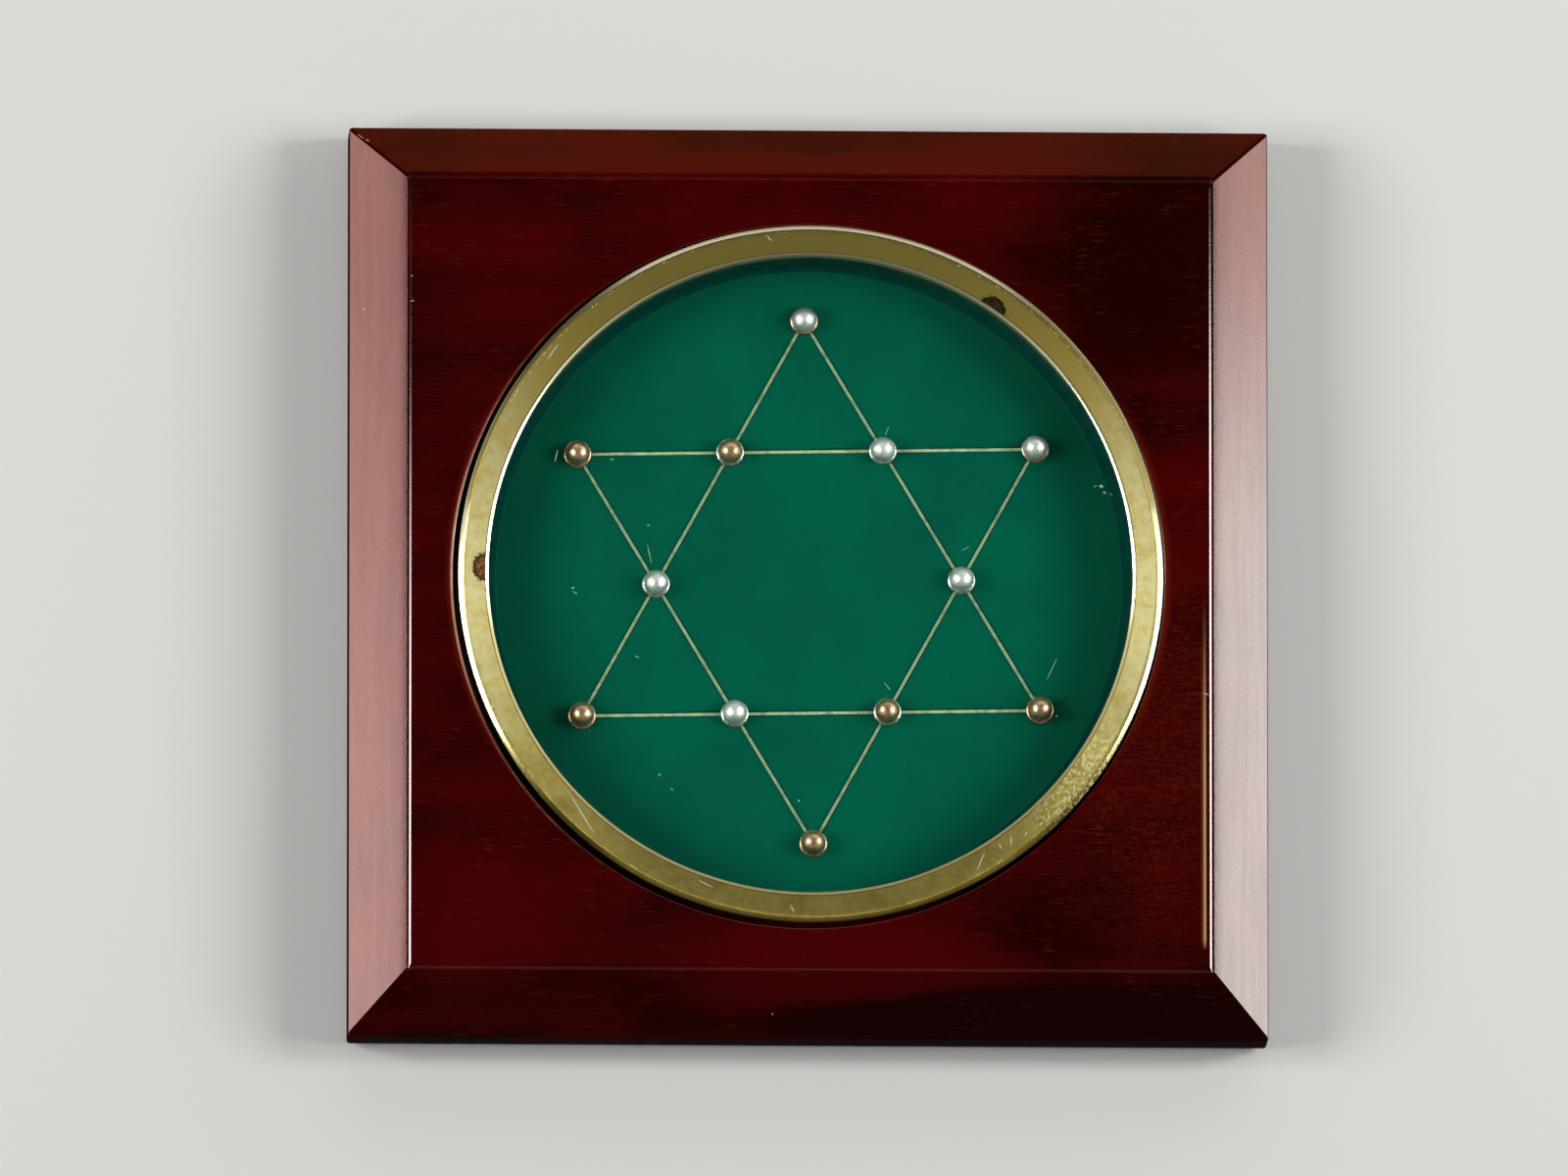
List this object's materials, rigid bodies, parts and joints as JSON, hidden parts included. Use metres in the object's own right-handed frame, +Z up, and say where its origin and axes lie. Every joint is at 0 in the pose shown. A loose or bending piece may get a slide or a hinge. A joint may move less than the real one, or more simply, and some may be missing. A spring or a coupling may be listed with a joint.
{
  "type": "dexterity puzzle",
  "caption": "Square wooden case with a brass-framed round window over a green star board; plated steel balls roll into rimmed seats when the case is tilted.",
  "frame": {"origin": "on the table under the middle of the case, at the underside of the felt", "axes": "+Z up out of the window, -Y towards the player, +X to the player's right"},
  "size_m": [0.17, 0.17, 0.0234],
  "materials": {
    "mahogany": "gloss lacquered",
    "felt": "wool felt",
    "board": "matte painted, with gilt lines",
    "lining": "matte painted",
    "glass": "clear",
    "brass": "satin turned",
    "bright_brass": "polished",
    "solder": "dull solder",
    "nickel": "nickel plated",
    "copper": "copper plated",
    "silver_ball": "nickel-plated steel",
    "copper_ball": "copper-plated steel, polished"
  },
  "bodies": {
    "puzzle": {"felt_base": "felt", "case_block": "mahogany", "playing_board": "board", "eyelet_tip_1": "copper", "eyelet_crossing_1": "nickel", "eyelet_tip_2": "copper", "eyelet_crossing_2": "nickel", "eyelet_tip_3": "copper", "eyelet_crossing_3": "nickel", "eyelet_tip_4": "copper", "eyelet_crossing_4": "nickel", "eyelet_tip_5": "copper", "eyelet_crossing_5": "nickel", "eyelet_tip_6": "copper", "eyelet_crossing_6": "nickel", "spacer_ring": "lining", "glass_disc": "glass", "slip_ring": "bright_brass", "bezel_ring": "brass", "solder_tack_1": "solder", "solder_tack_2": "solder", "solder_tack_3": "solder"},
    "ball_silver_1": {"ball_silver_1": "silver_ball"},
    "ball_copper_1": {"ball_copper_1": "copper_ball"},
    "ball_copper_2": {"ball_copper_2": "copper_ball"},
    "ball_silver_2": {"ball_silver_2": "silver_ball"},
    "ball_copper_3": {"ball_copper_3": "copper_ball"},
    "ball_silver_3": {"ball_silver_3": "silver_ball"},
    "ball_copper_4": {"ball_copper_4": "copper_ball"},
    "ball_copper_5": {"ball_copper_5": "copper_ball"},
    "ball_copper_6": {"ball_copper_6": "copper_ball"},
    "ball_silver_4": {"ball_silver_4": "silver_ball"},
    "ball_silver_5": {"ball_silver_5": "silver_ball"},
    "ball_silver_6": {"ball_silver_6": "silver_ball"}
  },
  "joints": [
    {"name": "roll_silver_1", "type": "hinge", "parent": "puzzle", "child": "ball_silver_1", "pos_m": [-0.00085, 0.04664, 0.01225], "axis": [1, 0, 0], "range_deg": [0, 56.4]},
    {"name": "roll_copper_1", "type": "hinge", "parent": "puzzle", "child": "ball_copper_1", "pos_m": [-0.01454, 0.02195, 0.01225], "axis": [1, 0, 0], "range_deg": [0, 56.4]},
    {"name": "roll_copper_2", "type": "hinge", "parent": "puzzle", "child": "ball_copper_2", "pos_m": [-0.04277, 0.02146, 0.01225], "axis": [1, 0, 0], "range_deg": [0, 56.4]},
    {"name": "roll_silver_2", "type": "hinge", "parent": "puzzle", "child": "ball_silver_2", "pos_m": [-0.02823, -0.00274, 0.01225], "axis": [1, 0, 0], "range_deg": [0, 56.4]},
    {"name": "roll_copper_3", "type": "hinge", "parent": "puzzle", "child": "ball_copper_3", "pos_m": [-0.04192, -0.02744, 0.01225], "axis": [1, 0, 0], "range_deg": [0, 56.4]},
    {"name": "roll_silver_3", "type": "hinge", "parent": "puzzle", "child": "ball_silver_3", "pos_m": [-0.01369, -0.02694, 0.01225], "axis": [1, 0, 0], "range_deg": [0, 56.4]},
    {"name": "roll_copper_4", "type": "hinge", "parent": "puzzle", "child": "ball_copper_4", "pos_m": [0.00085, -0.05114, 0.01225], "axis": [1, 0, 0], "range_deg": [0, 56.4]},
    {"name": "roll_copper_5", "type": "hinge", "parent": "puzzle", "child": "ball_copper_5", "pos_m": [0.01454, -0.02645, 0.01225], "axis": [1, 0, 0], "range_deg": [0, 56.4]},
    {"name": "roll_copper_6", "type": "hinge", "parent": "puzzle", "child": "ball_copper_6", "pos_m": [0.04277, -0.02596, 0.01225], "axis": [1, 0, 0], "range_deg": [0, 56.4]},
    {"name": "roll_silver_4", "type": "hinge", "parent": "puzzle", "child": "ball_silver_4", "pos_m": [0.02823, -0.00176, 0.01225], "axis": [1, 0, 0], "range_deg": [0, 56.4]},
    {"name": "roll_silver_5", "type": "hinge", "parent": "puzzle", "child": "ball_silver_5", "pos_m": [0.04192, 0.02294, 0.01225], "axis": [1, 0, 0], "range_deg": [0, 56.4]},
    {"name": "roll_silver_6", "type": "hinge", "parent": "puzzle", "child": "ball_silver_6", "pos_m": [0.01369, 0.02244, 0.01225], "axis": [1, 0, 0], "range_deg": [0, 56.4]}
  ]
}
